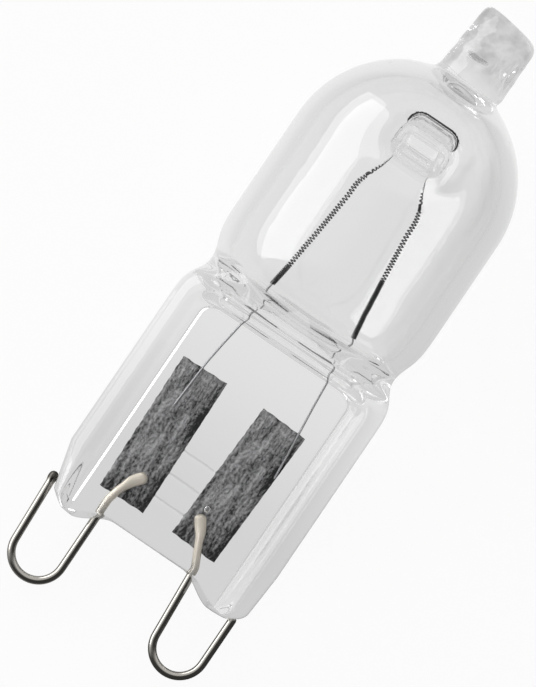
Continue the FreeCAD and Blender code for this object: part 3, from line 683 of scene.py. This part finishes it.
def foil_skin(side):
    """Skin of a strip: rings of a flat elliptic section, whose edges waver along it."""
    shift, lean = FOILS[side]
    up = np.linspace(0, 1, 90)[:, None]
    angle = np.linspace(0, 2 * np.pi, 48, endpoint=False)[None, :]
    across = np.cos(angle)
    phase = shift * 3
    ragged = 0.014 * np.sin(up * 53 + phase) + 0.011 * np.sin(up * 131 + 2 * phase)
    reach = FOIL_HALF_WIDTH + ragged * np.where(across < 0, 1.0, 0.4) - 0.02
    x = reach * across
    z = (up - 0.5) * FOIL_LENGTH + 0 * across
    end = 0.02 * np.sin(x * 7 + phase) * (2 * up - 1)
    thick = FOIL_HALF_THICK * np.sin(angle)
    crease = 0.018 * np.sin(z * 5.3 + x * 1.7 + phase) + 0.014 * np.sin(z * 2.1 - x * 4.3)
    tilt = math.radians(lean)
    turned_x = shift + x * math.cos(tilt) - (z + end) * math.sin(tilt)
    turned_z = FOIL_FOOT + FOIL_LENGTH / 2 + x * math.sin(tilt) + (z + end) * math.cos(tilt)
    skin = np.stack((turned_x, FOIL_DEPTH + thick + crease, turned_z), -1)
    ends = []
    for row in (skin[0], skin[-1]):
        opposite = np.roll(row[::-1, 1], 1)
        middle = np.stack((row[:, 0], (row[:, 1] + opposite) / 2, row[:, 2]), -1)
        ends.append(middle[None])
    uv = np.stack((z + FOIL_LENGTH / 2, x), -1)
    uv = np.concatenate([uv[:1], uv, uv[-1:]])
    return np.concatenate([ends[0], skin, ends[1]]), uv


# Molybdenum foil: matt grey, streaked along the rolling and darker towards one edge
molybdenum = bpy.data.materials.new("molybdenum_rolled_foil")
tree = new_tree(molybdenum)
place = add_node(tree, "ShaderNodeTexCoord")
streak = add_node(tree, "ShaderNodeMapping", Vector=place.outputs["UV"], Scale=(1.0, 1.7, 1.0))
grain = add_node(tree, "ShaderNodeTexNoise", Vector=streak.outputs[0], Scale=4.2, Detail=4.0,
                 Roughness=0.7)
rolled = add_node(tree, "ShaderNodeMapping", Vector=place.outputs["UV"], Scale=(0.5, 3.4, 1.0))
patch = add_node(tree, "ShaderNodeTexNoise", Vector=rolled.outputs[0], Scale=0.8, Detail=3.0)
blotch = add_node(tree, "ShaderNodeMath", {"operation": "MULTIPLY_ADD"},
                  _0=patch.outputs["Fac"], _1=0.8, _2=-0.4)
mottled = add_node(tree, "ShaderNodeMath", {"operation": "ADD"}, _0=grain.outputs["Fac"],
                   _1=blotch.outputs[0])
spot = add_node(tree, "ShaderNodeSeparateXYZ", Vector=place.outputs["UV"])
right_edge = add_node(tree, "ShaderNodeMapRange", {"interpolation_type": "SMOOTHSTEP"},
                      _0=spot.outputs["Y"], _1=0.75, _2=1.5, _3=0.0, _4=0.13)
foot_edge = add_node(tree, "ShaderNodeMapRange", {"interpolation_type": "SMOOTHSTEP"},
                     _0=spot.outputs["X"], _1=1.6, _2=0.3, _3=0.0, _4=0.12)
edged = add_node(tree, "ShaderNodeMath", {"operation": "SUBTRACT"}, _0=mottled.outputs[0],
                 _1=right_edge.outputs[0])
tone = add_node(tree, "ShaderNodeMath", {"operation": "SUBTRACT"}, _0=edged.outputs[0],
                _1=foot_edge.outputs[0])
shade = add_node(tree, "ShaderNodeValToRGB", Fac=tone.outputs[0])
shade.color_ramp.elements[0].position = 0.32
shade.color_ramp.elements[0].color = linear("#2A2A2B")
shade.color_ramp.elements[1].position = 0.74
shade.color_ramp.elements[1].color = linear("#BCBCBD")
rough = add_node(tree, "ShaderNodeBump", Strength=0.5, Distance=0.00008,
                 Height=grain.outputs["Fac"])
metal = add_node(tree, "ShaderNodeBsdfPrincipled", Base_Color=shade.outputs["Color"],
                 Roughness=0.5, Metallic=1.0, Normal=rough.outputs["Normal"])
add_node(tree, "ShaderNodeOutputMaterial", Surface=metal.outputs[0])

for side in FOILS:
    skin, uv = foil_skin(side)
    foil = add_piece(f"foil_{side}_strip", [(skin, {})], uv)
    foil.data.materials.append(molybdenum)
    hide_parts(f"foil_{side}")

# Inner leads: fine molybdenum wires, spot welded on the front of the foils, up through
# the web and the gas to the foot of the coil.
LEAD_DIAMETER = 0.13
LEAD_DEPTH = 0.16
LEADS = {
    "left": ((-3.37, LEAD_DEPTH, 7.7), (-3.28, LEAD_DEPTH, 9.3), (-3.2, LEAD_DEPTH, 10.76),
             (-3.02, LEAD_DEPTH, 12.2), (-2.8, LEAD_DEPTH, 13.66), (-2.68, 0.14, 15.23),
             (-2.56, 0.12, 16.52)),
    "right": ((3.84, LEAD_DEPTH, 7.4), (3.7, LEAD_DEPTH, 9.0), (3.55, LEAD_DEPTH, 10.5),
              (3.37, LEAD_DEPTH, 12.2), (3.26, LEAD_DEPTH, 13.55), (3.12, 0.14, 15.3),
              (3.1, 0.13, 16.15), (2.99, 0.12, 16.57)),
}
drawn = bpy.data.materials.new("molybdenum_drawn_wire")
tree = new_tree(drawn)
metal = add_node(tree, "ShaderNodeBsdfPrincipled", Base_Color=linear("#9C9C9E"),
                 Roughness=0.3, Metallic=1.0)
add_node(tree, "ShaderNodeOutputMaterial", Surface=metal.outputs[0])
for side, route in LEADS.items():
    route = ease(route, 150, 0.25)
    skin = wire_skin(route, BACKWARD, LEAD_DIAMETER / 2, LEAD_DIAMETER / 2, 12)
    lead = add_piece(f"lead_wire_{side}_drawn", [(skin, {})], wire_uv(skin, route))
    lead.data.materials.append(drawn)
    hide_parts(f"lead_wire_{side}")

# Contact loops: stiff bright nickel-plated wire bent to a U. Its outer end sits in the
# flange's foot, its inner end is flattened and welded on the front of the foil.
LOOP_WIRE = 0.5
LOOP_HALF = 1.6
LOOP_BOTTOM = -5.5
LOOPS = {
    "left": ((-6.86, 0.3), (-6.66, -5.05), (-3.45, -5.05),
             ((-3.47, 0.95), (-3.3, 1.7), (-2.9, 2.6), (-2.5, 3.1))),
    "right": ((6.45, -0.82), (6.45, -4.85), (3.25, -4.85),
              ((2.95, 0.5), (2.55, 1.3), (2.1, 2.3), (1.6, 3.05))),
}
for side, (outer, outer_centre, inner_centre, weld) in LOOPS.items():
    centre_x = (outer_centre[0] + inner_centre[0]) / 2
    sign = np.sign(outer[0])
    bow = np.radians(np.linspace(0, 180, 33))
    loop_x = centre_x + sign * LOOP_HALF * np.cos(bow)
    loop_z = LOOP_BOTTOM + LOOP_HALF - LOOP_HALF * np.sin(bow)
    bow_points = np.stack((loop_x, 0 * bow, loop_z), 1)
    route = np.concatenate([[(outer[0], 0, outer[1])], bow_points,
                            [(x, 0, z) for x, z in weld]])
    route = ease(route, 240, 0.22)
    along = measure(route)
    left_over = along[-1] - along
    flat = 1 - smooth_step(left_over, 0.3, 1.5)
    balled = 0.05 * (1 - smooth_step(along, 0.12, 0.45)) * (side == "left")
    wide = LOOP_WIRE / 2 + 0.11 * flat + balled
    deep = LOOP_WIRE / 2 - 0.1 * flat + balled
    across = unit(np.cross(unit(np.gradient(route, axis=0)), BACKWARD))
    route = route + np.stack((0 * along, -0.02 + 0.03 * flat, 0 * along), 1)
    skin = wire_skin(route, across, wide, deep, 20)
    loop = add_piece(f"contact_loop_{side}_bent", [(skin, {})], wire_uv(skin, route))
    nickel = bpy.data.materials.new(f"nickel_plated_wire_{side}")
    tree = new_tree(nickel)
    place = add_node(tree, "ShaderNodeTexCoord")
    length = add_node(tree, "ShaderNodeSeparateXYZ", Vector=place.outputs["UV"])
    burnt = add_node(tree, "ShaderNodeMapRange", {"interpolation_type": "SMOOTHSTEP"},
                     _0=length.outputs["X"], _1=float(along[-1] - 3.4), _2=float(along[-1] - 1.9))
    # The left loop's outer end is dark grey over its first few tenths of a millimetre; the right
    # loop's dark end lies before its start, so it shows none
    dark_end_at = 0.0 if side == "left" else -1.0
    past_dark_end = add_node(tree, "ShaderNodeMapRange", {"interpolation_type": "SMOOTHSTEP"},
                       _0=length.outputs["X"], _1=dark_end_at + 0.15, _2=dark_end_at + 0.4)
    bright = add_node(tree, "ShaderNodeMix", {"data_type": "RGBA"}, _0=past_dark_end.outputs[0],
                      _6=linear("#4C4A46"), _7=linear("#ACA9A3"))
    colour = add_node(tree, "ShaderNodeMix", {"data_type": "RGBA"}, _0=burnt.outputs[0],
                      _6=bright.outputs[2], _7=linear("#D6CFC3"))
    dull = add_node(tree, "ShaderNodeMapRange", _0=burnt.outputs[0], _3=0.16, _4=0.5)
    metal = add_node(tree, "ShaderNodeBsdfPrincipled", Base_Color=colour.outputs[2],
                     Roughness=dull.outputs[0], Metallic=1.0)
    add_node(tree, "ShaderNodeOutputMaterial", Surface=metal.outputs[0])
    loop.data.materials.append(nickel)
    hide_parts(f"contact_loop_{side}")

# Floor: a plain pale sheet. Seen directly it is white with the lamp's faint shadow. Seen
# through the glass it is a shade darker, with a painted pool of light that falls off from
# the floor's middle and painted shade towards the lamp's right, its left and its foot. Seen
# in metal it carries a painted side light, bright towards the lamp's left and crown and
# dark towards its right and foot.
FLOOR_HALF = 2.0
mesh = bpy.data.meshes.new("floor")
mesh.from_pydata([(-FLOOR_HALF, -FLOOR_HALF, 0), (FLOOR_HALF, -FLOOR_HALF, 0),
                  (FLOOR_HALF, FLOOR_HALF, 0), (-FLOOR_HALF, FLOOR_HALF, 0)], [], [(0, 1, 2, 3)])
floor = bpy.data.objects.new("floor", mesh)
bpy.context.collection.objects.link(floor)
paper = bpy.data.materials.new("matt_white_paper")
tree = new_tree(paper)
matt = add_node(tree, "ShaderNodeBsdfDiffuse", Color=(0.8, 0.8, 0.8, 1))
path = add_node(tree, "ShaderNodeLightPath")
white = add_node(tree, "ShaderNodeEmission", Color=(1, 1, 1, 1), Strength=1.0)
place = add_node(tree, "ShaderNodeTexCoord")
across = add_node(tree, "ShaderNodeSeparateXYZ", Vector=place.outputs["Object"])
# Painted side light for reflections in metal: the floor glows brighter towards the lamp's left
# and crown, darker towards its right and foot
aslant = add_node(tree, "ShaderNodeMath", {"operation": "MULTIPLY_ADD"},
                  _0=across.outputs["X"], _1=0.9, _2=across.outputs["Y"])
lit_side = add_node(tree, "ShaderNodeMapRange", {"interpolation_type": "SMOOTHSTEP"},
                    _0=aslant.outputs[0], _1=-0.03, _2=0.015, _3=0.06, _4=1.0)
painted_side_light = add_node(tree, "ShaderNodeEmission", Color=(1, 1, 1, 1),
                    Strength=lit_side.outputs[0])
away = add_node(tree, "ShaderNodeVectorMath", {"operation": "LENGTH"},
                _0=place.outputs["Object"])
# Painted light and shade for rays through the glass: a pool of light falling off from the floor's
# middle, times painted shade towards the lamp's right, left and foot
painted_light_pool = add_node(tree, "ShaderNodeMapRange", {"interpolation_type": "SMOOTHSTEP"},
                    _0=away.outputs["Value"], _1=0.018, _2=0.07, _3=0.82, _4=0.48)
painted_shade_right = add_node(tree, "ShaderNodeMapRange", {"interpolation_type": "SMOOTHSTEP"},
                      _0=across.outputs["Y"], _1=-0.0048, _2=-0.0075, _3=1.0, _4=0.85)
painted_shade_left = add_node(tree, "ShaderNodeMapRange", {"interpolation_type": "SMOOTHSTEP"},
                     _0=across.outputs["Y"], _1=0.009, _2=0.015, _3=1.0, _4=0.9)
painted_shade_foot = add_node(tree, "ShaderNodeMapRange", {"interpolation_type": "SMOOTHSTEP"},
                     _0=across.outputs["X"], _1=0.0, _2=-0.012, _3=1.0, _4=0.85)
sides = add_node(tree, "ShaderNodeMath", {"operation": "MULTIPLY"},
                 _0=painted_shade_right.outputs[0], _1=painted_shade_left.outputs[0])
ends = add_node(tree, "ShaderNodeMath", {"operation": "MULTIPLY"},
                _0=sides.outputs[0], _1=painted_shade_foot.outputs[0])
dimmed = add_node(tree, "ShaderNodeMath", {"operation": "MULTIPLY"},
                  _0=painted_light_pool.outputs[0], _1=ends.outputs[0])
seen_through = add_node(tree, "ShaderNodeEmission", Color=(1, 1, 1, 1),
                        Strength=dimmed.outputs[0])
glossy = add_node(tree, "ShaderNodeMixShader", _0=path.outputs["Is Glossy Ray"],
                  _1=matt.outputs[0], _2=painted_side_light.outputs[0])
bent = add_node(tree, "ShaderNodeMixShader", _0=path.outputs["Is Transmission Ray"],
                _1=glossy.outputs[0], _2=seen_through.outputs[0])
lifted = add_node(tree, "ShaderNodeMixShader", _0=0.92, _1=matt.outputs[0],
                  _2=white.outputs[0])
direct = add_node(tree, "ShaderNodeMixShader", _0=path.outputs["Is Camera Ray"],
                  _1=bent.outputs[0], _2=lifted.outputs[0])
add_node(tree, "ShaderNodeOutputMaterial", Surface=direct.outputs[0])
floor.data.materials.append(paper)

# Light: a pale room, brighter on the lamp's left than on its right, and one broad soft
# panel on the left
world = bpy.data.worlds.new("studio")
bpy.context.scene.world = world
tree = new_tree(world)
place = add_node(tree, "ShaderNodeTexCoord")
way = add_node(tree, "ShaderNodeSeparateXYZ", Vector=place.outputs["Generated"])
aslant = add_node(tree, "ShaderNodeMath", {"operation": "MULTIPLY_ADD"},
                  _0=way.outputs["X"], _1=1.1, _2=way.outputs["Y"])
level = add_node(tree, "ShaderNodeMapRange", {"interpolation_type": "SMOOTHSTEP"},
                 _0=aslant.outputs[0], _1=-0.45, _2=0.2, _3=0.07, _4=1.0)
room = add_node(tree, "ShaderNodeBackground", Color=(1, 1, 1, 1), Strength=level.outputs[0])
pale = add_node(tree, "ShaderNodeMapRange", {"interpolation_type": "SMOOTHSTEP"},
                _0=way.outputs["Y"], _1=-1.0, _2=0.6, _3=0.6, _4=0.8)
haze = add_node(tree, "ShaderNodeBackground", Color=(1, 1, 1, 1), Strength=pale.outputs[0])
open_white = add_node(tree, "ShaderNodeBackground", Color=(1, 1, 1, 1), Strength=1.0)
path = add_node(tree, "ShaderNodeLightPath")
bent = add_node(tree, "ShaderNodeMixShader", _0=path.outputs["Is Transmission Ray"],
                _1=room.outputs[0], _2=haze.outputs[0])
sky = add_node(tree, "ShaderNodeMixShader", _0=path.outputs["Is Camera Ray"],
               _1=bent.outputs[0], _2=open_white.outputs[0])
add_node(tree, "ShaderNodeOutputWorld", Surface=sky.outputs[0])


def add_panel(name, place, size, radiance):
    """A soft lamp at a place in metres, facing the middle of the glass. Its power is what
    gives its face the stated radiance: pi times its area times that."""
    light = bpy.data.lights.new(name, "AREA")
    light.shape = "RECTANGLE"
    light.size, light.size_y = size
    light.energy = radiance * math.pi * size[0] * size[1]
    panel = bpy.data.objects.new(name, light)
    panel.location = place
    panel.rotation_mode = "QUATERNION"
    aim = (cad_low + cad_high) / 2 - panel.location
    panel.rotation_quaternion = aim.to_track_quat("-Z", "Y")
    bpy.context.collection.objects.link(panel)


add_panel("left_softbox", (0.02, 0.3, 0.13), (0.5, 0.26), 2.6)

# Camera: a long lens square to the pinch's face, with the lamp leaning 34.2 degrees to
# the right in the picture
PICTURE_HEIGHT = 687
PIXELS_PER_MM = 17.2
LEAN_IN_PICTURE = math.radians(34.2)
AIM = (-0.872, 0.0, 13.66)
LENS = 400.0
SENSOR = 36.0
right = lamp_right * math.cos(LEAN_IN_PICTURE) + lamp_up * math.sin(LEAN_IN_PICTURE)
upright = lamp_up * math.cos(LEAN_IN_PICTURE) - lamp_right * math.sin(LEAN_IN_PICTURE)
toward = np.cross(right, upright)
camera_data = bpy.data.cameras.new("camera")
camera_data.lens = LENS
camera_data.sensor_width = SENSOR
camera_data.clip_start = 0.01
camera_data.clip_end = 20.0
camera = bpy.data.objects.new("camera", camera_data)
span = PICTURE_HEIGHT / PIXELS_PER_MM * MM
stand = lay(AIM) + toward * span * LENS / SENSOR
turned = Matrix(np.stack((right, upright, toward), 1).tolist())
camera.matrix_world = Matrix.Translation(stand.tolist()) @ turned.to_4x4()
bpy.context.collection.objects.link(camera)
bpy.context.scene.camera = camera
bpy.context.scene.view_settings.view_transform = "Standard"
